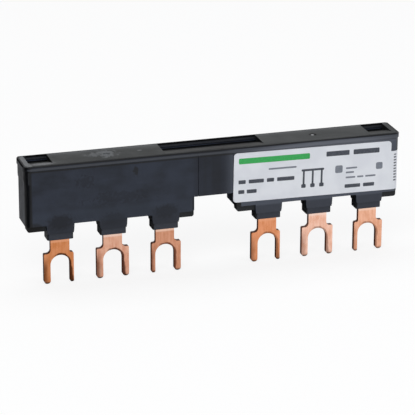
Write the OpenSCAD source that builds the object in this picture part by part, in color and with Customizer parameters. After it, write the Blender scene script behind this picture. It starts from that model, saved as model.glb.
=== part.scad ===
// Three-pole comb busbar with two tap-off groups.
// Three stamped and joggled copper combs lie side by side in a moulded housing, kept apart by
// separators, and their forks come out in one plane through two nozzle carriers.
// +X runs along the bar, +Y towards the back, +Z up. The origin is the slot centre of the first fork.

/* [Pitch] */
// Distance between neighbouring forks
pole_pitch = 13.5; // [12.5:0.5:15]
// Distance between the two tap-off groups
tap_pitch = 54; // [52:1:80]

/* [Copper] */
// Thickness of the copper sheet
copper_t = 1.25; // [1:0.05:2]
// Height of the long bar of each comb
bar_h = 8.6; // [6:0.2:14]
// Length of bar beyond the neck of its last fork
bar_end = 1.2; // [0.5:0.1:1.6]
// Width of the neck between bar and fork
neck_w = 4.8; // [4:0.1:5]
// Bare length of neck between nozzle and fork shoulder
neck_len = 3.8; // [2:0.1:8]
// Width of the screw slot
slot_w = 5; // [4.2:0.1:5.4]
// Length of the screw slot from its round end to the tips
slot_len = 7.35; // [5:0.05:11]
// Copper between the shoulder and the round end of the slot
slot_cover = 0.5; // [0.4:0.1:3]
// Width of a wide tine
tine_wide = 1.65; // [1.55:0.05:2]
// Radius at the tip corners of a wide tine
tip_wide_r = 0.75; // [0.1:0.05:0.75]
// Radius of the shoulder corner of a wide tine
corner_wide_r = 0.3; // [0.1:0.05:0.5]
// Radius between the neck and a wide tine's shoulder
fillet_wide_r = 1; // [0.2:0.05:1.1]
// Width of a narrow tine
tine_narrow = 0.95; // [0.9:0.05:1.2]
// Radius at the tip corners of a narrow tine
tip_narrow_r = 0.35; // [0.1:0.05:0.4]
// Radius of the shoulder corner of a narrow tine
corner_narrow_r = 0.45; // [0.1:0.05:0.5]
// Radius between the neck and a narrow tine's shoulder
fillet_narrow_r = 0.45; // [0.1:0.05:0.5]
// Angle of the joggle, measured from the upright
joggle_angle = 60; // [58:1:65]
// Inner radius of the joggle's bends
bend_r = 0.8; // [0.4:0.1:0.8]

/* [Housing] */
// Thickness of the housing walls
wall = 0.95; // [0.7:0.05:1.6]
// Length of each tap-off block
block_len = 43.4; // [40:0.2:46]
// Rise of the bridge above the foot of the blocks
bridge_rise = 3.8; // [2.5:0.05:5]
// Thickness of the bridge floor
floor_t = 1.2; // [0.8:0.1:2]
// Sideways offset of the middle fork from the middle of its block
fork_offset = 0.5; // [-1:0.1:1]
// Radius of the upright corners
corner_r = 1.4; // [0.5:0.05:1.6]
// Radius of the lower rear edge of the blocks
foot_r = 0.8; // [0.3:0.1:0.9]
// Width of the plain stretch between the two witness lines on the bridge
spacer_w = 9.2; // [6:0.1:10]
// Width and depth of a witness line
witness = 0.2; // [0.1:0.05:0.3]

/* [Lip] */
// How far the lip stands out from the walls
lip_out = 0.35; // [0.3:0.05:0.8]
// Height of the lip
lip_h = 1.3; // [1:0.1:2]
// How far the band under the lip stands out from the end walls
band_out = 0.15; // [0.1:0.05:0.3]
// Height of the band under the lip
band_h = 2.05; // [1:0.05:3]
// Height of the taper below the band
band_taper = 1.35; // [0.8:0.05:2]
// Width of the rim around the top cover
rim_w = 0.55; // [0.4:0.05:0.9]
// Bevel along the outer edge of the rim
rim_bevel = 0.3; // [0.1:0.05:0.35]

/* [Top cover] */
// Thickness of the cover plate
cover_t = 1.2; // [0.8:0.1:1.6]
// Gap between the cover and the rim
cover_gap = 0.12; // [0.05:0.01:0.2]
// Length of the two end pockets
end_pocket_len = 5.9; // [4:0.1:8]
// Thickness of the upright walls around the pocket trays
tray_wall = 0.45; // [0.3:0.05:0.8]
// Length of the middle pocket
mid_pocket_len = 25.8; // [10:0.2:40]
// Depth of the pockets
pocket_depth = 1.6; // [1.2:0.1:2]
// Thickness of the pocket floors
pocket_floor = 0.45; // [0.3:0.05:0.8]
// Distance from the front wall to the ramp in front of a pocket
ramp_edge = 0.9; // [0.6:0.1:1.5]
// Distance from the front wall to the pocket
pocket_edge = 3.6; // [3:0.1:5]
// Fall of the ramp
ramp_fall = 0.35; // [0.1:0.05:0.6]
// Radius of the round gate marks
gate_r = 0.9; // [0.5:0.1:1.5]
// Depth of the gate marks
gate_depth = 0.15; // [0.05:0.05:0.3]

/* [Nozzles] */
// Width of a nozzle where it leaves the housing
base_w = 7.1; // [7:0.1:8.5]
// Height of the upper part of a nozzle
base_h = 1.65; // [1:0.05:3]
// Narrowing of the upper part on each side, top to bottom
base_draft = 0.1; // [0.05:0.05:0.2]
// Height of the bevel between the upper part and the collar
base_bevel = 0.7; // [0.3:0.1:1]
// Depth of a nozzle, front to back
base_d = 4.5; // [4.4:0.1:5]
// Width of the collar
collar_w = 6.6; // [5.9:0.1:6.8]
// Height of the collar
collar_h = 1.7; // [1:0.05:4]
// Step of the collar behind the housing front
collar_step = 0.3; // [0.1:0.05:0.5]
// Depth of the collar, front to back
collar_d = 4; // [3.2:0.1:4.1]
// Radius of the collar's upright edges
collar_r = 0.5; // [0.2:0.05:0.7]
// Height of the end strips below the housing
strip_h = 1.5; // [0.8:0.1:1.6]
// Thickness of the end strips
strip_t = 2.3; // [1.5:0.1:3]
// Step of the end strips behind the housing front
strip_step = 0.5; // [0.2:0.05:0.8]
// Distance from the end of a block to its strip
strip_inset = 0.35; // [0.3:0.05:1]
// Radius at the lower outer corner of the end strips
strip_r = 0.6; // [0.2:0.05:0.8]

/* [Fits] */
// Gap between a bar and the plastic beside it
bar_gap = 0.15; // [0.05:0.05:0.3]
// Thickness of the separators between the bars
separator_t = 1.15; // [0.5:0.05:1.4]
// Gap between a carrier and the housing
carrier_gap = 0.1; // [0.05:0.01:0.2]
// Gap between a neck and the nozzle around it
neck_gap = 0.1; // [0.05:0.01:0.2]
// Gap between the bars and the pocket trays above them
tray_gap = 0.05; // [0:0.01:0.2]

/* [Label] */
// Thickness of the label
label_t = 0.12; // [0.08:0.01:0.2]
// Distance from the foot of the block to the label
label_rise = 0.9; // [0.8:0.1:3]
// Distance from the label up to the lip
label_drop = 0.5; // [0.4:0.05:2]
// Tilt of the label, stuck on by hand
label_tilt = 0.8; // [0:0.1:1]
// Width of the notch in the label's upper corner
label_notch_w = 2.1; // [1.6:0.1:4]
// Gap between the label and the band on the end wall
label_gap = 0.15; // [0.1:0.05:0.5]
// Length of the label tab on the end wall
label_tab = 4; // [2:0.1:6]
// Radius of the label's corners
label_r = 0.9; // [0.3:0.1:1.2]

/* [Hidden] */
$fn = 48;
eps = 0.01;
over = 1; // how far a cut runs past what it cuts
bend_steps = 8; // straight steps along each bend of the sheet
poles = 3;
taps = 2;

// Heights, measured from the slot centre of the forks
slot_r = slot_w / 2;
z_tip = slot_r - slot_len;
z_shoulder = slot_r + slot_cover;
z_collar = z_shoulder + neck_len;
z_base = z_collar + collar_h;
z_foot = z_base + base_bevel + base_h;
z_bridge = z_foot + bridge_rise;
z_floor = z_bridge + floor_t;
z_tray = z_floor + bar_h + tray_gap;
z_well = z_tray + pocket_floor;
z_top = z_well + pocket_depth;
z_seat = z_top - cover_t;
z_lip = z_top - lip_h;
z_band = z_lip - band_h;

// Depths, measured from the middle of the fork sheet
bar_step = copper_t + separator_t + 2 * bar_gap;
y_in = -copper_t / 2 - bar_gap;
y_front = y_in - wall;
y_in_back = (poles - 1) * bar_step + copper_t / 2 + bar_gap;
y_back = y_in_back + wall;
depth = y_back - y_front;

// Lengths, measured from the first fork
block_x = pole_pitch - fork_offset;
x_left = block_x - block_len / 2;
x_right = block_x + tap_pitch + block_len / 2;
body_len = x_right - x_left;
x_mid = (x_left + x_right) / 2;
gap_left = block_x + block_len / 2;
gap_right = x_right - block_len;

// Label: from the right witness line to the right end, notched to clear the band on the end wall
x_label = x_mid + spacer_w / 2;
label_len = x_right - x_label;
label_h = z_lip - label_drop - z_foot - label_rise;
label_fall = label_len / 2 * sin(label_tilt);
label_notch_h = band_h + band_taper - label_drop - label_fall + label_gap;

// Rectangle from (0, 0) with its four corners rounded
module round_rect(l, w, r) {
    translate([r, 0]) square([l - 2 * r, w]);
    translate([0, r]) square([l, w - 2 * r]);
    for (x = [r, l - r], y = [r, w - r]) translate([x, y]) circle(r);
}

// Waste outside a rounded corner whose tip is at the origin, with the part in the +X +Y quarter
module corner_waste(r) {
    difference() {
        translate([-eps, -eps]) square(r + eps);
        translate([r, r]) circle(r);
    }
}

// Extrudes a profile drawn as (Y, Z) along X, from x0 over the length l
module along_x(x0, l) {
    translate([x0, 0, 0]) rotate([90, 0, 90]) linear_extrude(l) children();
}

// Extrudes a profile drawn as (X, Z) along Y, from y0 over the depth d
module along_y(y0, d) {
    translate([0, y0 + d, 0]) rotate([90, 0, 0]) linear_extrude(d) children();
}

// Runs its children once for each fork of one tap-off group, at that fork's X
module at_forks(tap) {
    for (p = [0 : poles - 1]) translate([tap * tap_pitch + p * pole_pitch, 0, 0]) children();
}

// ---- Copper combs ----

// A tine: [width, radius at its tip, radius of its shoulder corner, radius up to the neck]
wide = [tine_wide, tip_wide_r, corner_wide_r, fillet_wide_r];
narrow = [tine_narrow, tip_narrow_r, corner_narrow_r, fillet_narrow_r];

// Outline of a neck and its fork in the fork plane, drawn as (X, Z), up to the height z_end
module fork_outline(left, right, z_end) {
    translate([-neck_w / 2, z_shoulder - eps]) square([neck_w, z_end - z_shoulder + eps]);
    difference() {
        union() {
            mirror([1, 0]) half_fork(left);
            half_fork(right);
        }
        circle(slot_r);
        translate([-slot_r, z_tip - over]) square([slot_w, over - z_tip]);
    }
}

// The half of a fork on the +X side, before the slot is cut
module half_fork(tine) {
    edge = slot_r + tine[0];
    difference() {
        translate([-eps, z_tip]) square([edge + eps, z_shoulder - z_tip]);
        translate([edge, z_shoulder]) rotate(180) corner_waste(tine[2]);
        translate([edge, z_tip]) mirror([1, 0]) corner_waste(tine[1]);
        translate([slot_r, z_tip]) corner_waste(tine[1]);
    }
    translate([neck_w / 2, z_shoulder]) corner_waste(tine[3]);
}

// Points on an arc about c with radius r, from angle a0 to a1
function arc(c, r, a0, a1) =
    [for (i = [0 : bend_steps]) let (a = a0 + (a1 - a0) * i / bend_steps) c + r * [cos(a), sin(a)]];

// Radius of the sheet's middle in a bend, and the length from the bend's corner to its end
bend_mid = bend_r + copper_t / 2;
bend_len = bend_mid * tan(joggle_angle / 2);

// Centres of the two bends of a prong, as (Y, Z), for a bar that lies dy behind the fork plane
function bend_top(dy) = [dy - bend_mid, z_floor];
function bend_foot(dy) = [bend_mid, z_floor - 2 * bend_len - dy / tan(joggle_angle)];

// Front and rear side of a prong at the distance h from the sheet's middle, top to bottom
function prong_front(dy, h) = concat(arc(bend_top(dy), bend_mid - h, 0, -joggle_angle),
                                     arc(bend_foot(dy), bend_mid + h, 180 - joggle_angle, 180));
function prong_rear(dy, h) = concat(arc(bend_top(dy), bend_mid + h, 0, -joggle_angle),
                                    arc(bend_foot(dy), bend_mid - h, 180 - joggle_angle, 180));
function flip(list) = [for (i = [len(list) - 1 : -1 : 0]) list[i]];

// Side profile of a prong, drawn as (Y, Z): down from the bar, forward, and down into the nozzle
module prong_profile(dy) {
    h = copper_t / 2;
    polygon(concat([[dy - h, z_floor + over]], prong_front(dy, h), [[-h, z_collar]],
                   [[h, z_collar]], flip(prong_rear(dy, h)), [[dy + h, z_floor + over]]));
}

// One comb: bar, two joggled prongs and two forks, stamped from one sheet
module comb(pole, left, right) {
    dy = pole * bar_step;
    reach = neck_w / 2 + bar_end;
    translate([pole * pole_pitch - reach, dy - copper_t / 2, z_floor])
        cube([tap_pitch + 2 * reach, copper_t, bar_h]);
    for (t = [0 : taps - 1]) translate([pole * pole_pitch + t * tap_pitch, 0, 0]) {
        z_end = (dy > 0 ? z_collar : z_floor) + eps;
        along_y(-copper_t / 2, copper_t) fork_outline(left, right, z_end);
        if (dy > 0) along_x(-neck_w / 2, neck_w) prong_profile(dy);
    }
}

module comb_l1() { color("#C67C48") comb(0, wide, narrow); }
module comb_l2() { color("#D9A286") comb(1, wide, wide); }
module comb_l3() { color("#C98A68") comb(2, narrow, wide); }

// ---- Separators ----

// Insulating strip behind the bar of the given pole
module separator(pole) {
    translate([x_left + wall + carrier_gap, pole * bar_step + copper_t / 2 + bar_gap, z_floor])
        cube([body_len - 2 * (wall + carrier_gap), separator_t, bar_h]);
}

module separator_front() { color("#202326") separator(0); }
module separator_rear() { color("#202326") separator(1); }

// ---- Housing ----

// Plan of a stretch of housing, grown by d on every side
module plan(x0, x1, d = 0) {
    translate([x0 - d, y_front - d]) round_rect(x1 - x0 + 2 * d, depth + 2 * d, corner_r + d);
}

// Outline of a nozzle's upper part, drawn as (X, Z)
module base_outline() {
    w0 = base_w / 2;
    w1 = w0 - base_draft;
    polygon([[-w0, z_foot + eps], [-w1, z_foot - base_h], [-collar_w / 2, z_base],
             [collar_w / 2, z_base], [w1, z_foot - base_h], [w0, z_foot + eps]]);
}

// Lip around the top
module lip() {
    translate([0, 0, z_lip]) linear_extrude(lip_h) plan(x_left, x_right, lip_out);
}

// Shallow band under the lip on both end walls, tapered at its lower edge
module end_bands() {
    z0 = z_band - band_taper;
    intersection() {
        translate([0, 0, z0]) linear_extrude(z_lip + eps - z0) intersection() {
            plan(x_left, x_right, band_out);
            translate([x_left - band_out, y_front]) square([body_len + 2 * band_out, depth]);
        }
        along_y(y_front, depth) polygon([
            [x_left - band_out, z_lip + eps], [x_left - band_out, z_band], [x_left, z0],
            [x_right, z0], [x_right + band_out, z_band], [x_right + band_out, z_lip + eps]]);
    }
}

// Bevel waste along the outer top edge of the rim
module rim_bevel_waste() {
    y0 = y_front - lip_out;
    y1 = y_back + lip_out;
    for (y = [y0, y1]) along_x(x_left - over, body_len + 2 * over) translate([y, z_top])
        rotate(45) square(rim_bevel * sqrt(2), center = true);
    for (x = [x_left - lip_out, x_right + lip_out])
        along_y(y0 - over, y1 - y0 + 2 * over) translate([x, z_top])
            rotate(45) square(rim_bevel * sqrt(2), center = true);
}

// Room inside one block for its carrier, open below
module block_room(x0) {
    translate([x0 + wall, y_in, z_foot - over])
        cube([block_len - 2 * wall, y_in_back - y_in, z_floor - z_foot + over + eps]);
}

module housing() {
    color("#33363F") difference() {
        union() {
            translate([0, 0, z_bridge]) linear_extrude(z_top - z_bridge) plan(x_left, x_right);
            for (x0 = [x_left, gap_right])
                translate([0, 0, z_foot]) linear_extrude(z_top - z_foot) plan(x0, x0 + block_len);
            for (t = [0 : taps - 1]) at_forks(t) along_y(y_front, wall) base_outline();
            lip();
            end_bands();
        }
        for (x0 = [x_left, gap_right]) {
            block_room(x0);
            along_x(x0 - over, block_len + 2 * over)
                translate([y_back, z_foot]) mirror([1, 0]) corner_waste(foot_r);
        }
        translate([x_left + wall, y_in, z_floor])
            cube([body_len - 2 * wall, y_in_back - y_in, z_top - z_floor + over]);
        cover_seat();
        rim_bevel_waste();
        for (s = [-1, 1], y = [y_front, y_back])
            translate([x_mid + s * spacer_w / 2 - witness / 2, y - witness, z_bridge - eps])
                cube([witness, 2 * witness, z_lip - z_bridge + eps]);
    }
}

// Step inside the rim that the top cover drops into
module cover_seat() {
    d = lip_out - rim_w;
    translate([0, 0, z_seat]) linear_extrude(cover_t + eps) plan(x_left, x_right, d);
}

// ---- Top cover ----

// Pocket in the cover, drawn as (Y, Z): a shallow ramp at the front and a deep well behind it
module pocket_profile() {
    polygon([[y_front + ramp_edge, z_top + eps], [y_front + pocket_edge, z_top - ramp_fall],
             [y_front + pocket_edge, z_well], [y_back + over, z_well],
             [y_back + over, z_top + eps]]);
}

// Start and length of each pocket along X
pocket_edge_x = wall + cover_gap + tray_wall;
pockets = [[x_left + pocket_edge_x, end_pocket_len],
           [x_mid - mid_pocket_len / 2, mid_pocket_len],
           [x_right - pocket_edge_x - end_pocket_len, end_pocket_len]];

// Tray that hangs from the cover plate and holds the pocket p
module tray(p) {
    y0 = y_front + pocket_edge - tray_wall;
    translate([p[0] - tray_wall, y0, z_tray])
        cube([p[1] + 2 * tray_wall, y_in_back - cover_gap - y0, z_seat + eps - z_tray]);
}

module top_cover() {
    color("#3E4243") difference() {
        union() {
            translate([0, 0, z_seat]) linear_extrude(cover_t)
                plan(x_left, x_right, lip_out - rim_w - cover_gap);
            for (p = pockets) tray(p);
        }
        for (p = pockets) along_x(p[0], p[1]) pocket_profile();
        for (t = [0 : taps - 1])
            translate([block_x + t * tap_pitch, (y_front + y_back) / 2, z_top - gate_depth])
                cylinder(h = over, r = gate_r);
    }
}

// ---- Carriers ----

// Moulding that closes the foot of one block and guides its three prongs
module carrier(tap) {
    x0 = tap == 0 ? x_left : gap_right;
    x1 = x0 + block_len;
    g = wall + carrier_gap;
    first = tap * tap_pitch - base_w / 2;
    last = tap * tap_pitch + (poles - 1) * pole_pitch + base_w / 2;
    color("#17191C") difference() {
        union() {
            translate([x0 + g, y_in + carrier_gap, z_foot])
                cube([block_len - 2 * g, y_in_back - y_in - 2 * carrier_gap, z_floor - z_foot]);
            at_forks(tap) nozzle();
            strip(x0 + strip_inset, first + eps);
            translate([x0 + x1, 0, 0]) mirror([1, 0, 0]) strip(x0 + strip_inset, x0 + x1 - last + eps);
        }
        for (p = [0 : poles - 1])
            translate([tap * tap_pitch + p * pole_pitch, 0, 0]) prong_shaft(p * bar_step);
    }
}

// Nozzle behind the housing's tongue, and the collar under both
module nozzle() {
    along_y(y_in, base_d - wall) base_outline();
    translate([-collar_w / 2, y_front + collar_step, z_collar])
        linear_extrude(collar_h) round_rect(collar_w, collar_d, collar_r);
}

// Strip under the front wall from x0 to x1, with its lower corner at x0 rounded
module strip(x0, x1) {
    along_y(y_front + strip_step, strip_t) translate([x0, z_foot - strip_h]) difference() {
        square([x1 - x0, strip_h]);
        corner_waste(strip_r);
    }
}

// Way down for a prong whose bar lies dy behind the fork plane
module prong_shaft(dy) {
    w = neck_w + 2 * neck_gap;
    h = copper_t / 2 + neck_gap;
    rear = dy > 0 ? prong_rear(dy, h) : [];
    along_x(-w / 2, w)
        polygon(concat([[-h, z_collar - over], [-h, z_floor + over], [dy + h, z_floor + over]], rear,
                       [[h, z_collar - over]]));
}

module carrier_left() { carrier(0); }
module carrier_right() { carrier(1); }

// ---- Label ----

// Label on the front of the right block, from the witness line round the corner onto the end wall
module label() {
    h = label_h;
    edge = label_len - label_notch_w;
    color("#D5D8DE") intersection() {
        translate([0, 0, z_foot]) linear_extrude(z_lip - z_foot) difference() {
            plan(x_left, x_right, label_t);
            plan(x_left, x_right);
        }
        translate([x_label + label_len / 2, 0, z_foot + label_rise + h / 2]) rotate([0, label_tilt, 0])
            translate([-label_len / 2, 0, -h / 2]) difference() {
                translate([0, y_front - over, 0]) cube([label_len + over, over + corner_r + label_tab, h]);
                translate([edge, y_front - 2 * over, h - label_notch_h])
                    cube([label_notch_w + 2 * over, depth, label_notch_h + over]);
                along_y(y_front - 2 * over, 2 * over + corner_r) {
                    corner_waste(label_r);
                    translate([0, h]) mirror([0, 1]) corner_waste(label_r);
                    translate([edge, h]) rotate(180) corner_waste(label_r);
                }
            }
    }
}

housing();
top_cover();
carrier_left();
carrier_right();
comb_l1();
comb_l2();
comb_l3();
separator_front();
separator_rear();
label();
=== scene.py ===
import math

import bmesh
import bpy
from mathutils import Matrix, Vector


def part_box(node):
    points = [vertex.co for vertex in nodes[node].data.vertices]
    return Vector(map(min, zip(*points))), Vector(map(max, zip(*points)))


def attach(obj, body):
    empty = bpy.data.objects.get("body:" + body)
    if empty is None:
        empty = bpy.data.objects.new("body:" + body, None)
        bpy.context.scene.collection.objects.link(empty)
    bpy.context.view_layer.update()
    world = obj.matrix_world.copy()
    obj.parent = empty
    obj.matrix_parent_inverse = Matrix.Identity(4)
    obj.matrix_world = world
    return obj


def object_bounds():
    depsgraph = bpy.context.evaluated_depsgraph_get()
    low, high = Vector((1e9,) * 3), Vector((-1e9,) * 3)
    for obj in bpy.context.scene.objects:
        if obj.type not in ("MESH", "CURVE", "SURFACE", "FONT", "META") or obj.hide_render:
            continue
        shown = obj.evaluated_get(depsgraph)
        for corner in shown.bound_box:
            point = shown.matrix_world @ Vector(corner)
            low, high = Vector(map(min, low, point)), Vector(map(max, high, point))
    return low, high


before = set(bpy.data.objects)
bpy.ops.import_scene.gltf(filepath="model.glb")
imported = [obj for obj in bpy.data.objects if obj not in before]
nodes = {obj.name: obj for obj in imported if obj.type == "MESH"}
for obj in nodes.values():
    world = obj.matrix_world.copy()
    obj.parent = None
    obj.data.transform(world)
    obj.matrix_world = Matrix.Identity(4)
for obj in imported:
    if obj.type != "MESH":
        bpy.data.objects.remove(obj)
cad_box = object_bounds()
scene = bpy.context.scene
MM = 0.001


def in_mm(box):
    """A box's lowest and highest corner in millimetres."""
    return [[value / MM for value in corner] for corner in box]


# ---- Places of the part's features, in millimetres in the row frame ----
# The row frame has X along the bar, Y to the back and Z up, from the first fork's slot centre.

(LEFT, _, BASE), (RIGHT, _, TOP) = in_mm(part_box("housing"))  # BASE is the foot of the nozzles
MID = (LEFT + RIGHT) / 2
FOOT = BASE + 2.35  # foot of the tap-off blocks, where the nozzles start
LIP = TOP - 1.3  # foot of the lip
COLLAR = in_mm(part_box("carrier_left"))[0][2]  # foot of the collars, where the copper comes out
LABEL = in_mm(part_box("label"))[0][0]  # left edge of the label
LEFT_GATE, RIGHT_GATE, GATE_Y = 13.0, 67.0, 3.0  # wear round the top cover's two gate marks
POLE, TAP = 13.5, 54.0  # from fork to fork, and from group to group
SLOT_R = 2.5  # half the width of a fork's slot
TIP = -4.8  # just above the tips of the forks
WIDE, NARROW = 1.65, 0.95  # widths of the tines
FRONT, END = ("Y", -1), ("X", -1)  # directions of the front and of the left end


# ---- Node helpers ----


def srgb(code):
    """Linear colour from a hex code."""
    values = [int(code[i : i + 2], 16) / 255 for i in (0, 2, 4)]
    return [v / 12.92 if v <= 0.04045 else ((v + 0.055) / 1.055) ** 2.4 for v in values] + [1.0]


class Shader:
    """A small builder for procedural materials. Positions are in millimetres in the row frame."""

    def __init__(self, name, tree=None):
        """Starts a new material, or works in the tree that is given."""
        if tree is None:
            self.material = bpy.data.materials.new(name)
            self.material.use_nodes = True
            tree = self.material.node_tree
        self.tree = tree
        self.bsdf = tree.nodes.get("Principled BSDF")

    def node(self, kind, **values):
        node = self.tree.nodes.new(kind)
        for key, value in values.items():
            setattr(node, key, value)
        return node

    def link(self, output, socket):
        self.tree.links.new(output, socket)

    def put(self, socket, value):
        """Links a socket to another one, or sets its value."""
        if isinstance(value, bpy.types.NodeSocket):
            self.link(value, socket)
        else:
            socket.default_value = value

    def position(self, stretch=(1, 1, 1), shift=(0, 0, 0)):
        """The place in millimetres, stretched and then shifted for a texture."""
        mapping = self.node("ShaderNodeMapping")
        mapping.inputs["Scale"].default_value = [factor / MM for factor in stretch]
        mapping.inputs["Location"].default_value = shift
        self.link(self.node("ShaderNodeTexCoord").outputs["Object"], mapping.inputs["Vector"])
        return mapping.outputs["Vector"]

    def axis(self, name):
        """One coordinate of the place: X, Y or Z."""
        parts = self.node("ShaderNodeSeparateXYZ")
        self.link(self.position(), parts.inputs[0])
        return parts.outputs[name]

    def facing(self, name):
        """One part of the surface's direction in the row frame."""
        parts = self.node("ShaderNodeSeparateXYZ")
        self.link(self.node("ShaderNodeTexCoord").outputs["Normal"], parts.inputs[0])
        return parts.outputs[name]

    def noise(self, scale, detail=3, stretch=(1, 1, 1), rough=0.5, shift=(0, 0, 0)):
        texture = self.node("ShaderNodeTexNoise")
        texture.inputs["Scale"].default_value = scale
        texture.inputs["Detail"].default_value = detail
        texture.inputs["Roughness"].default_value = rough
        self.link(self.position(stretch, shift), texture.inputs["Vector"])
        return texture.outputs["Fac"]

    def math(self, operation, a, b=0.0):
        node = self.node("ShaderNodeMath", operation=operation)
        self.put(node.inputs[0], a)
        self.put(node.inputs[1], b)
        return node.outputs[0]

    def times(self, a, b):
        return self.math("MULTIPLY", a, b)

    def plus(self, a, b):
        return self.math("ADD", a, b)

    def blend(self, a, b, share):
        """Weighted sum of two values, where share is the weight of the first."""
        return self.plus(self.times(a, share), self.times(b, 1 - share))

    def ramp(self, value, lo, hi, out_lo=0.0, out_hi=1.0):
        """Smooth step from out_lo at lo to out_hi at hi."""
        node = self.node("ShaderNodeMapRange", interpolation_type="SMOOTHSTEP")
        self.put(node.inputs["Value"], value)
        ends = {"From Min": lo, "From Max": hi, "To Min": out_lo, "To Max": out_hi}
        for name, end in ends.items():
            node.inputs[name].default_value = end
        return node.outputs["Result"]

    def between(self, value, lo, hi, soft):
        """1 between lo and hi, fading to 0 over the width soft outside them."""
        return self.times(self.ramp(value, lo - soft, lo), self.ramp(value, hi, hi + soft, 1, 0))

    def mix(self, factor, a, b):
        """Colour a where factor is 0 and colour b where it is 1."""
        node = self.node("ShaderNodeMix", data_type="RGBA")
        self.put(node.inputs["Factor"], factor)
        self.put(node.inputs[6], a)  # input 6, input 7 and output 2 are the colour ones
        self.put(node.inputs[7], b)
        return node.outputs[2]

    def bump(self, height, depth, under=None):
        """A relief of the given depth in millimetres, on top of the relief under it."""
        node = self.node("ShaderNodeBump")
        node.inputs["Distance"].default_value = depth * MM
        self.put(node.inputs["Height"], height)
        if under is not None:
            self.put(node.inputs["Normal"], under)
        return node.outputs["Normal"]

    def set(self, **values):
        """Sets or links sockets of the Principled BSDF, by their names in lower case."""
        for key, value in values.items():
            self.put(self.bsdf.inputs[key.replace("_", " ").title()], value)

    def level(self, value):
        """Sets how strongly the surface reflects."""
        self.bsdf.inputs["Specular IOR Level"].default_value = value


# ---- Marks: soft-edged bands and patches, placed in millimetres in the row frame ----
# Each gives back a function that takes a shader and its colour and returns the marked colour.


def belt(axis, lo, hi, soft, tint, strength, side=None):
    """A band across one axis. side keeps it on the faces that look that way: (axis, sign)."""

    def mark(s, colour):
        factor = s.times(s.between(s.axis(axis), lo, hi, soft), strength)
        if side:
            factor = s.times(factor, s.ramp(s.times(s.facing(side[0]), side[1]), 0.8, 0.97))
        return s.mix(factor, colour, srgb(tint))

    return mark


def patch(centre, radii, tint, strength, inner=0.0, ragged=0.0):
    """A soft round patch, or a ring where inner is above 0. ragged breaks up its edge.

    A radius of 0 lets the patch run on along that axis."""

    def mark(s, colour):
        total = 0.0
        for axis, c, r in zip("XYZ", centre, radii):
            if r:
                d = s.math("DIVIDE", s.math("SUBTRACT", s.axis(axis), c), r)
                total = s.plus(total, s.times(d, d))
        reach = s.math("SQRT", total)
        if ragged:
            reach = s.plus(reach, s.ramp(s.noise(1.3, 4), 0.3, 0.7, -ragged, ragged))
        shape = s.ramp(reach, 0.45, 1.0, 1, 0)
        if inner:
            shape = s.times(shape, s.ramp(reach, inner * 0.7, inner))
        return s.mix(s.times(shape, strength), colour, srgb(tint))

    return mark


def corner_shade(tint):
    """Paints shade on the rounded upright corners of the left end, standing in for their dark
    reflections.
    """

    def mark(s, colour):
        turned = s.times(s.facing("X"), -1.0)
        factor = s.times(s.ramp(turned, 0.0, 0.12), s.ramp(turned, 0.96, 0.998, 1, 0))
        return s.mix(factor, colour, srgb(tint))

    return mark


# ---- Materials ----


def plastic(name, dark, light, rough=0.5, level=0.3, seed=0.0, marks=()):
    """Satin moulded plastic: broad mottling, faint flow marks and a fine spark-eroded grain."""
    s = Shader(name)
    broad = s.noise(0.12, 4, shift=(seed, 0, 0))
    flow = s.noise(0.3, 4, stretch=(0.4, 1, 1.2), shift=(0, seed, 0))
    tone = s.blend(broad, flow, 0.65)
    colour = s.mix(s.ramp(tone, 0.36, 0.64), srgb(dark), srgb(light))
    for mark in marks:
        colour = mark(s, colour)
    s.set(base_color=colour, roughness=s.ramp(tone, 0.3, 0.7, rough + 0.05, rough - 0.05))
    s.level(level)
    sink = s.bump(broad, 0.12)
    s.set(normal=s.bump(s.noise(5.5, 2, shift=(seed, 0, 0)), 0.006, sink))
    return s.material


def shade_rolled_edges(s, colour, pole, tine, spread, edge_shade):
    """Paints shade on the copper for dark reflections of its rolled edges: round the slot's end,
    down its right side and down the left tine.

    pole counts the combs from the left, tine is the width of the left tine, and spread is how
    wide the dark side of the right tine gets at its tip."""
    x, z = s.axis("X"), s.axis("Z")
    fork = POLE * pole
    # beside and above are measured from the slot centre of the nearer fork
    beside = s.math("SUBTRACT", x, s.ramp(x, MID - 1, MID + 1, fork, fork + TAP))
    above = s.math("MAXIMUM", z, 0.0)
    reach = s.math("SQRT", s.plus(s.times(beside, beside), s.times(above, above)))
    uneven = s.ramp(s.noise(0.9, 3, stretch=(1, 1, 0.5)), 0.3, 0.7, -0.12, 0.12)
    off = s.plus(s.math("SUBTRACT", reach, SLOT_R), uneven)  # distance from the slot's edge
    slot_side = s.math("DIVIDE", off, s.ramp(z, TIP, 0.0, spread, 0.55))
    right = s.times(s.ramp(slot_side, 0.45, 1.0, 0.95, 0), s.ramp(beside, -2.0, -0.4))
    left = s.times(s.ramp(off, 0.0, tine * 0.95, 0, 0.72), s.ramp(z, -1.0, 3.0, 1, 0))
    left = s.times(left, s.ramp(beside, -1.0, 0.0, 1, 0))
    fade = s.ramp(x, MID - 20, MID + 20, 1, 0.6)  # weaker on the last group of forks
    return s.mix(s.times(s.math("MAXIMUM", right, left), fade), colour, srgb(edge_shade))


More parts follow.
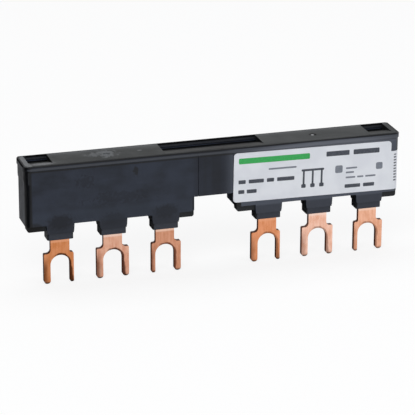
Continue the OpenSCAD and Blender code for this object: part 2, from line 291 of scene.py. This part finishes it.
def copper(name, first, last, edge, edge_shade, glow, pole, tine, spread, seed):
    """Stamped copper: rolled faces with faint streaks and tarnish, darker sheared edges.

    first and last are the (bright, tarnished) tones at the first and the last group of forks,
    and glow is the height and the tone of a painted highlight under the collar."""
    s = Shader(name)
    streak = s.noise(1.6, 4, stretch=(1.0, 1.0, 0.14), shift=(seed, 0, 0))
    cloud = s.noise(0.45, 3, shift=(0, seed, seed))
    tone = s.ramp(s.blend(streak, cloud, 0.55), 0.36, 0.64)
    groups = [s.mix(tone, srgb(tarnished), srgb(bright)) for bright, tarnished in (first, last)]
    colour = s.mix(s.ramp(s.axis("X"), MID - 20, MID + 20), *groups)
    # a painted highlight on the neck just under the collar
    low, tint = glow
    collar_highlight = s.between(s.axis("Z"), low + 0.35, COLLAR + 0.4, 0.35)
    colour = s.mix(s.times(collar_highlight, 0.6), colour, srgb(tint))
    # painted shade for the dark reflections of the rolled edges
    colour = shade_rolled_edges(s, colour, pole, tine, spread, edge_shade)
    flat = s.ramp(s.math("ABSOLUTE", s.facing("Y")), 0.1, 0.6)
    s.set(base_color=s.mix(flat, srgb(edge), colour), metallic=s.ramp(flat, 0, 1, 0.3, 1.0))
    s.set(roughness=s.plus(s.ramp(flat, 0, 1, 0.5, 0.3), s.ramp(cloud, 0.3, 0.7, -0.05, 0.08)))
    fine = s.noise(7, 3, stretch=(1.0, 1.0, 0.1), shift=(seed, 0, 0))
    s.set(normal=s.bump(fine, 0.006, s.bump(cloud, 0.05)))
    return s.material


def film():
    """Pale satin label film, with a column of small ticks where it starts to bend round the end."""
    s = Shader("label_film")
    tone = s.noise(0.2, 3)
    colour = s.mix(s.ramp(tone, 0.35, 0.65), srgb("D3D6DC"), srgb("DADDE2"))
    x, z = s.axis("X"), s.axis("Z")
    tick_pitch = 0.77
    step = s.math("FRACT", s.math("DIVIDE", s.plus(z, 0.25), tick_pitch))
    across = s.between(x, RIGHT - 1.6, RIGHT - 0.9, 0.08)
    column = s.times(across, s.between(z, FOOT + 2.55, FOOT + 10.05, 0.08))
    ticks = s.times(column, s.between(step, 0.2, 0.6, 0.12))
    s.set(base_color=s.mix(s.times(ticks, 0.9), colour, srgb("3A3E46")))
    s.set(roughness=s.ramp(tone, 0.3, 0.7, 0.5, 0.42))
    s.level(0.3)
    s.set(normal=s.bump(s.noise(3, 3), 0.004, s.bump(tone, 0.03)))
    return s.material


def ink(name, dark, light, level=0.3):
    """Screen-printed ink, or the cloth of a card: a little uneven in cover."""
    s = Shader(name)
    s.set(base_color=s.mix(s.ramp(s.noise(2.2, 4, rough=0.65), 0.35, 0.65), srgb(dark), srgb(light)))
    s.set(roughness=s.ramp(s.noise(1.1, 2), 0.3, 0.7, 0.45, 0.55))
    s.level(level)
    s.set(normal=s.bump(s.noise(6, 2), 0.003))
    return s.material


housing_plastic = plastic(
    "housing_plastic",
    "131924",
    "212836",
    rough=0.42,
    marks=[
        # paler low on the blocks
        belt("Z", FOOT + 0.5, FOOT + 2.6, 1.6, "2A3240", 0.45, FRONT),
        # darker between the blocks, and paler round the label
        belt("X", LABEL - 9.5, LABEL - 1, 1.5, "0A101C", 0.5, FRONT),
        belt("X", LABEL + 1, RIGHT, 4, "454A55", 0.85, FRONT),
        # an evener tone on the fronts of the nozzles
        belt("Z", FOOT - 4, FOOT - 0.5, 0.6, "1C202A", 0.6, FRONT),
        # flow lines on the bridge
        belt("X", LABEL - 5.2, LABEL - 3.6, 0.8, "070B14", 0.45, FRONT),
        belt("X", LABEL - 7.4, LABEL - 7.2, 0.5, "0C0F15", 0.25, FRONT),
        # painted shade at the left end: dark reflections on the rounded corners and a dark band down
        # the front's left edge; and the end wall itself
        corner_shade("06080D"),
        belt("X", LEFT, LEFT + 1.8, 0.4, "070A10", 0.9, FRONT),
        belt("X", LEFT - 0.5, LEFT + 0.2, 0.05, "1C1F24", 0.6, END),
        # painted shade on the inside of the back wall, seen through the pockets
        belt("Y", 0.5, 7.2, 0.3, "010102", 1.0, FRONT),
        # painted shade over the tops of the nozzles of the left block
        patch((0, 0, FOOT + 0.6), (4.2, 0, 2.6), "080C18", 0.8, ragged=0.15),
        patch((POLE, 0, FOOT + 0.2), (4.0, 0, 2.2), "0A0F1A", 0.5, ragged=0.2),
        patch((2 * POLE, 0, FOOT + 0.8), (4.0, 0, 2.3), "0A0F1A", 0.75, ragged=0.15),
        # painted shade at the lower left; dark blotches high on the left and the right, and in the
        # middle
        patch((LEFT + 2.5, 0, FOOT), (2.5, 0, 1.2), "06080B", 0.6),
        patch((6.5, 0, TOP - 5.2), (2.6, 0, 2.0), "0B101C", 0.5, ragged=0.45),
        patch((19.3, 0, TOP - 3.6), (1.0, 0, 1.7), "06080D", 0.8, ragged=0.3),
        patch((15, 0, FOOT + 5.6), (9.0, 0, 1.6), "0B101C", 0.45, ragged=0.6),
        # the lip: painted shade under it, where it meets the wall, a pale band and a dark rim line
        belt("Z", LIP - 0.35, LIP + 0.08, 0.15, "080A0E", 0.8, FRONT),
        belt("Z", LIP + 0.3, TOP - 0.6, 0.15, "3A3D43", 0.9, FRONT),
        belt("Z", TOP - 0.32, TOP - 0.02, 0.1, "08090C", 0.9),
        # paler lip above the label
        patch((68, -2, LIP - 0.2), (27, 1.5, 1.5), "6A6E78", 0.6),
    ],
)
cover_plastic = plastic(
    "cover_plastic",
    "1E2122",
    "2A2D2E",
    seed=3.0,
    marks=[
        # paler towards the back and towards the right end
        belt("Y", 5.6, 7.5, 1.5, "3C3F41", 0.5),
        belt("X", MID + 20, RIGHT, 20, "303335", 0.6),
        belt("Y", 6.3, 7.5, 0.8, "55585B", 0.55),
        # painted shade in the pockets, and a dark patch on the ramp in front of the middle one
        belt("Z", TOP - 5, TOP - 0.12, 0.08, "050606", 0.8),
        patch((MID, 0.0, TOP), (15.5, 2.4, 0), "0E0F10", 0.8),
        # paler left end, and painted light on the up-facing ramp in front of the left pocket
        belt("X", LEFT, LEFT + 2.1, 0.4, "6A6C6E", 0.9),
        patch((LEFT + 5.0, 0.0, TOP), (4.2, 1.6, 0), "66686B", 0.9),
        # scuffs round the left gate mark
        patch((LEFT_GATE, GATE_Y, TOP), (3.0, 3.0, 0), "5A5D60", 0.9, ragged=0.45),
        patch((LEFT_GATE - 3.0, GATE_Y + 0.2, TOP), (2.4, 1.8, 0), "55585B", 0.8, ragged=0.4),
        patch((LEFT_GATE + 8.6, GATE_Y + 0.2, TOP), (0.8, 0.35, 0), "74777A", 0.8),
        # dark ring and bright dot of the right gate mark
        patch((RIGHT_GATE, GATE_Y, TOP), (1.5, 1.5, 0), "141617", 0.8, inner=0.5),
        patch((RIGHT_GATE, GATE_Y, TOP), (0.55, 0.55, 0), "A8AAAC", 0.9),
    ],
)
carrier_plastic = plastic(
    "carrier_plastic",
    "0E1013",
    "171A1E",
    level=0.25,
    seed=7.0,
    marks=[
        # paler collars, and painted shade on the foot at the left end, under the overhanging wall
        belt("Z", COLLAR - 0.8, BASE - 0.1, 0.3, "2F333C", 0.9, FRONT),
        patch((LEFT + 2.0, 0, FOOT - 0.6), (3.5, 0, 2.0), "020203", 0.95),
    ],
)
copper_l1 = copper(
    "copper_l1",
    first=("DA9266", "C67C4C"),
    last=("EAA078", "D68A5E"),
    edge="5A2E16",
    edge_shade="43210F",
    glow=(5.7, "EBAA84"),
    pole=0,
    tine=WIDE,
    spread=1.1,
    seed=1.0,
)
copper_l2 = copper(
    "copper_l2",
    first=("E8B69C", "D2957A"),
    last=("FACDB8", "E6AD92"),
    edge="6A3A26",
    edge_shade="48261A",
    glow=(5.75, "FBE0D2"),
    pole=1,
    tine=WIDE,
    spread=1.1,
    seed=5.0,
)
copper_l3 = copper(
    "copper_l3",
    first=("D69A7D", "C08263"),
    last=("F4BC9F", "DE9F7E"),
    edge="643722",
    edge_shade="663826",
    glow=(5.75, "FAD8C2"),
    pole=2,
    tine=NARROW,
    spread=0.6,
    seed=9.0,
)
looks = {
    "housing": housing_plastic,
    "top_cover": cover_plastic,
    "carrier_left": carrier_plastic,
    "carrier_right": carrier_plastic,
    "separator_front": carrier_plastic,
    "separator_rear": carrier_plastic,
    "comb_l1": copper_l1,
    "comb_l2": copper_l2,
    "comb_l3": copper_l3,
    "label": film(),
}
for name, material in looks.items():
    for slot in nodes[name].material_slots:
        slot.link = "OBJECT"
        slot.material = material


# ---- Soft edges on the moulded and stamped pieces ----

SHARP = math.radians(35)  # edges that turn more than this are softened


def soften(name, width, segments):
    """Joins a CAD node's faces and bevels its sharp edges by a width in millimetres."""
    modifiers = nodes[name].modifiers
    weld = modifiers.new("weld", "WELD")
    weld.merge_threshold = 0.001 * MM
    bevel = modifiers.new("bevel", "BEVEL")
    bevel.width = width * MM
    bevel.segments = segments
    bevel.limit_method = "ANGLE"
    bevel.angle_limit = SHARP
    bevel.harden_normals = True


for name in ("housing", "top_cover", "carrier_left", "carrier_right"):
    soften(name, 0.1, 2)
for name in ("comb_l1", "comb_l2", "comb_l3"):
    soften(name, 0.25, 3)


# ---- Print on the label: plain bars, a colour field and a three-line diagram ----
# The print is drawn in millimetres from the middle of the label's front and tilts with the label.

PRINT_T = 0.015  # thickness of the ink
LABEL_TILT = math.radians(0.8)
CORNER_STEPS = 4
label_lo, label_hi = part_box("label")
label_centre = Vector(((label_lo.x + label_hi.x) / 2, label_lo.y, (label_lo.z + label_hi.z) / 2))


def rounded(x0, z0, x1, z1, r):
    """Outline of a rounded rectangle, anticlockwise."""
    points = []
    corners = ((x1 - r, z1 - r), (x0 + r, z1 - r), (x0 + r, z0 + r), (x1 - r, z0 + r))
    for quarter, (cx, cz) in enumerate(corners):
        for i in range(CORNER_STEPS + 1):
            angle = math.radians(90 * (quarter + i / CORNER_STEPS))
            points.append((cx + r * math.cos(angle), cz + r * math.sin(angle)))
    return points


def print_piece(name, outlines, material):
    """Flat printed shapes on the label's front."""
    shape = bmesh.new()
    for outline in outlines:
        corners = [shape.verts.new((x * MM, -PRINT_T * MM, z * MM)) for x, z in outline]
        made = bmesh.ops.extrude_face_region(shape, geom=[shape.faces.new(corners)])
        back = [item for item in made["geom"] if isinstance(item, bmesh.types.BMVert)]
        bmesh.ops.translate(shape, vec=(0, PRINT_T * MM, 0), verts=back)
    bmesh.ops.recalc_face_normals(shape, faces=shape.faces)
    shape.transform(Matrix.Translation(label_centre) @ Matrix.Rotation(LABEL_TILT, 4, "Y"))
    mesh = bpy.data.meshes.new(name)
    shape.to_mesh(mesh)
    shape.free()
    mesh.materials.append(material)
    o = bpy.data.objects.new(name, mesh)
    scene.collection.objects.link(o)
    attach(o, "root")


def bars(x, z, widths, height, gap):
    """A row of plain bars starting at x, centred on z."""
    radius = min(0.18, height * 0.35)
    row = []
    for width in widths:
        row.append(rounded(x, z - height / 2, x + width, z + height / 2, radius))
        x += width + gap
    return row


def diagram():
    """Three upright lines with a foot each, for the three poles, joined by a bar at the top."""
    first, pitch, count = -3.5, 2.4, 3
    last = first + pitch * (count - 1)
    half_line, half_foot = 0.25, 0.6
    shapes = []
    for i in range(count):
        x = first + pitch * i
        shapes.append(rounded(x - half_line, -3.3, x + half_line, 0.4, 0.2))
        shapes.append(rounded(x - half_foot, -4.1, x + half_foot, -3.1, 0.25))
    shapes.append(rounded(first - half_foot, 0.3, last + half_foot, 0.85, 0.2))
    return shapes


dark_ink = ink("ink_dark", "3A3E46", "4A4E57")
green_ink = ink("ink_green", "2F9A4C", "3BA657")
grey_ink = ink("ink_grey", "6E737C", "7D828B")

print_piece("print_field", [rounded(-20.8, 3.55, -2.0, 5.05, 0.3)], green_ink)
print_piece(
    "print_rows",
    bars(2.4, 4.4, (6.2, 7.0), 1.3, 1.1)
    + bars(-20.8, -1.2, (1.9, 4.0, 1.9, 4.6), 1.0, 0.8)
    + bars(-20.8, -3.8, (1.6, 2.6), 1.0, 0.65)
    + bars(7.6, -4.6, (4.2, 3.0), 0.95, 0.8),
    dark_ink,
)
print_piece(
    "print_small_rows",
    bars(-12.9, 1.7, (7.4,), 0.45, 0.5)
    + bars(7.8, 0.2, (3.0,), 0.45, 0.5)
    + bars(7.8, -0.95, (2.2,), 0.45, 0.5)
    + bars(7.8, -2.3, (2.6, 1.7, 2.8), 0.45, 0.5),
    grey_ink,
)
print_piece("print_diagram", diagram(), dark_ink)
print_piece(
    "print_squares",
    [rounded(4.9, -0.9, 6.9, 1.1, 0.4), rounded(15.9, -0.7, 17.7, 1.1, 0.4)],
    grey_ink,
)


# ---- Floor and world ----

LEFT_M, _, GROUND = cad_box[0]  # left end and lowest point of the part, in metres
MIDDLE = Vector((0.04, 0.0, 0.012))  # about the middle of the part, where the lamps look
FLOOR_GAP = 0.02 * MM  # between the floor and the tips of the forks


def white_floor():
    """Plain paper that takes the object's shadow and looks white to the camera."""
    s = Shader("floor_white")
    s.tree.nodes.remove(s.bsdf)
    paper = s.node("ShaderNodeBsdfDiffuse")
    s.put(paper.inputs["Color"], s.mix(s.noise(0.004, 2), srgb("FDFDFD"), srgb("FFFFFF")))
    glow = s.node("ShaderNodeEmission")
    path = s.node("ShaderNodeLightPath")
    seen = s.math("MAXIMUM", path.outputs["Is Camera Ray"], path.outputs["Is Glossy Ray"])
    seen = s.math("MAXIMUM", seen, path.outputs["Is Transmission Ray"])
    surface = s.node("ShaderNodeMixShader")
    s.put(surface.inputs[0], s.times(seen, 0.8))
    s.link(paper.outputs[0], surface.inputs[1])
    s.link(glow.outputs[0], surface.inputs[2])
    s.link(surface.outputs[0], s.tree.nodes["Material Output"].inputs["Surface"])
    return s.material


def studio_world():
    """White to the camera, an even pale grey to surfaces, and darker overhead to reflections."""
    world = bpy.data.worlds.new("studio")
    world.use_nodes = True
    s = Shader("studio", world.node_tree)
    path = s.node("ShaderNodeLightPath")
    shown = s.math("MAXIMUM", path.outputs["Is Camera Ray"], path.outputs["Is Transmission Ray"])
    direction = s.node("ShaderNodeSeparateXYZ")
    s.link(s.node("ShaderNodeTexCoord").outputs["Generated"], direction.inputs[0])
    above = s.ramp(direction.outputs["Z"], 0.2, 0.9, 0.75, 0.35)
    lit = s.mix(path.outputs["Is Glossy Ray"], [0.38, 0.385, 0.4, 1], above)
    background = world.node_tree.nodes["Background"]
    s.put(background.inputs["Color"], s.mix(shown, lit, [1, 1, 1, 1]))
    background.inputs["Strength"].default_value = 1.0
    return world


bpy.ops.mesh.primitive_plane_add(size=8, location=(MIDDLE.x, 0, GROUND - FLOOR_GAP))
floor = bpy.context.object
floor.name = "floor"
floor.data.materials.append(white_floor())
scene.world = studio_world()


# ---- Lights and reflection cards, in metres ----


def softbox(name, place, size, watts):
    """A rectangular lamp that looks at the middle of the part."""
    data = bpy.data.lights.new(name, "AREA")
    data.shape = "RECTANGLE"
    data.size, data.size_y = size
    data.energy = watts
    lamp = bpy.data.objects.new(name, data)
    scene.collection.objects.link(lamp)
    lamp.location = place
    lamp.rotation_euler = (MIDDLE - Vector(place)).to_track_quat("-Z", "Y").to_euler()


def flag(name, cloth, low, high):
    """A card from its lowest to its highest corner, which share one coordinate.

    Only reflections see it."""
    shared = [a == b for a, b in zip(low, high)].index(True)
    across, up = (i for i in range(3) if i != shared)
    corners = []
    for side, end in ((low, low), (high, low), (high, high), (low, high)):
        corner = list(low)
        corner[across] = side[across]
        corner[up] = end[up]
        corners.append(corner)
    mesh = bpy.data.meshes.new(name)
    mesh.from_pydata(corners, [], [(0, 1, 2, 3)])
    mesh.materials.append(cloth)
    o = bpy.data.objects.new(name, mesh)
    scene.collection.objects.link(o)
    o.visible_camera = o.visible_diffuse = o.visible_shadow = o.visible_transmission = False


dark_cloth = ink("flag_cloth", "060606", "0A0A0A", 0.0)
grey_cloth = ink("flag_grey", "B4B4B4", "BCBCBC", 0.0)

# an upright card and a level one left of the part, which darken what looks to the left front
flag("flag_left", dark_cloth, (LEFT_M - 0.05, -0.2, GROUND), (LEFT_M - 0.05, 0.01, 0.1))
flag("flag_floor", dark_cloth, (LEFT_M - 0.2, -0.2, GROUND), (LEFT_M, 0.003, GROUND))
# a level card under and behind the part, which darkens the sides of the nozzles and the forks
flag("flag_under", dark_cloth, (LEFT_M, -0.0015, GROUND), (0.095, 0.12, GROUND))
# a grey card that the left end wall reflects, and a dark one behind it
flag("flag_back_floor", grey_cloth, (LEFT_M - 0.2, 0.006, GROUND), (LEFT_M, 0.12, GROUND))
flag("flag_back", dark_cloth, (LEFT_M - 0.3, 0.121, GROUND + 0.005), (LEFT_M, 0.121, 0.3))

softbox("key", (-0.25, -0.55, 0.65), (0.6, 0.45), 2.9)
softbox("fill", (0.6, -0.5, 0.3), (0.5, 0.5), 1.1)
softbox("top", (0.05, 0.25, 0.75), (0.7, 0.4), 2.0)


# ---- Camera: to the left of the front, looking down at the bar with a long lens ----

YAW, PITCH, ROLL = (math.radians(degrees) for degrees in (17.08, 19.85, 0.185))
LENS, DISTANCE = 208.2, 0.6010
AIM = Vector((0.0378, -0.001725, 0.01147))  # the point in the middle of the picture

ahead = Vector((math.sin(YAW) * math.cos(PITCH), math.cos(YAW) * math.cos(PITCH), -math.sin(PITCH)))
level_right = Vector((math.cos(YAW), -math.sin(YAW), 0))
level_up = level_right.cross(ahead)
right = level_right * math.cos(ROLL) + level_up * math.sin(ROLL)
up = level_up * math.cos(ROLL) - level_right * math.sin(ROLL)
camera_data = bpy.data.cameras.new("camera")
camera_data.lens = LENS
camera_data.sensor_width = 36
camera_data.clip_start = 0.01
camera = bpy.data.objects.new("camera", camera_data)
scene.collection.objects.link(camera)
turn = Matrix((right, up, -ahead)).transposed().to_4x4()
camera.matrix_world = Matrix.Translation(AIM - ahead * DISTANCE) @ turn
scene.camera = camera
scene.view_settings.view_transform = "Standard"
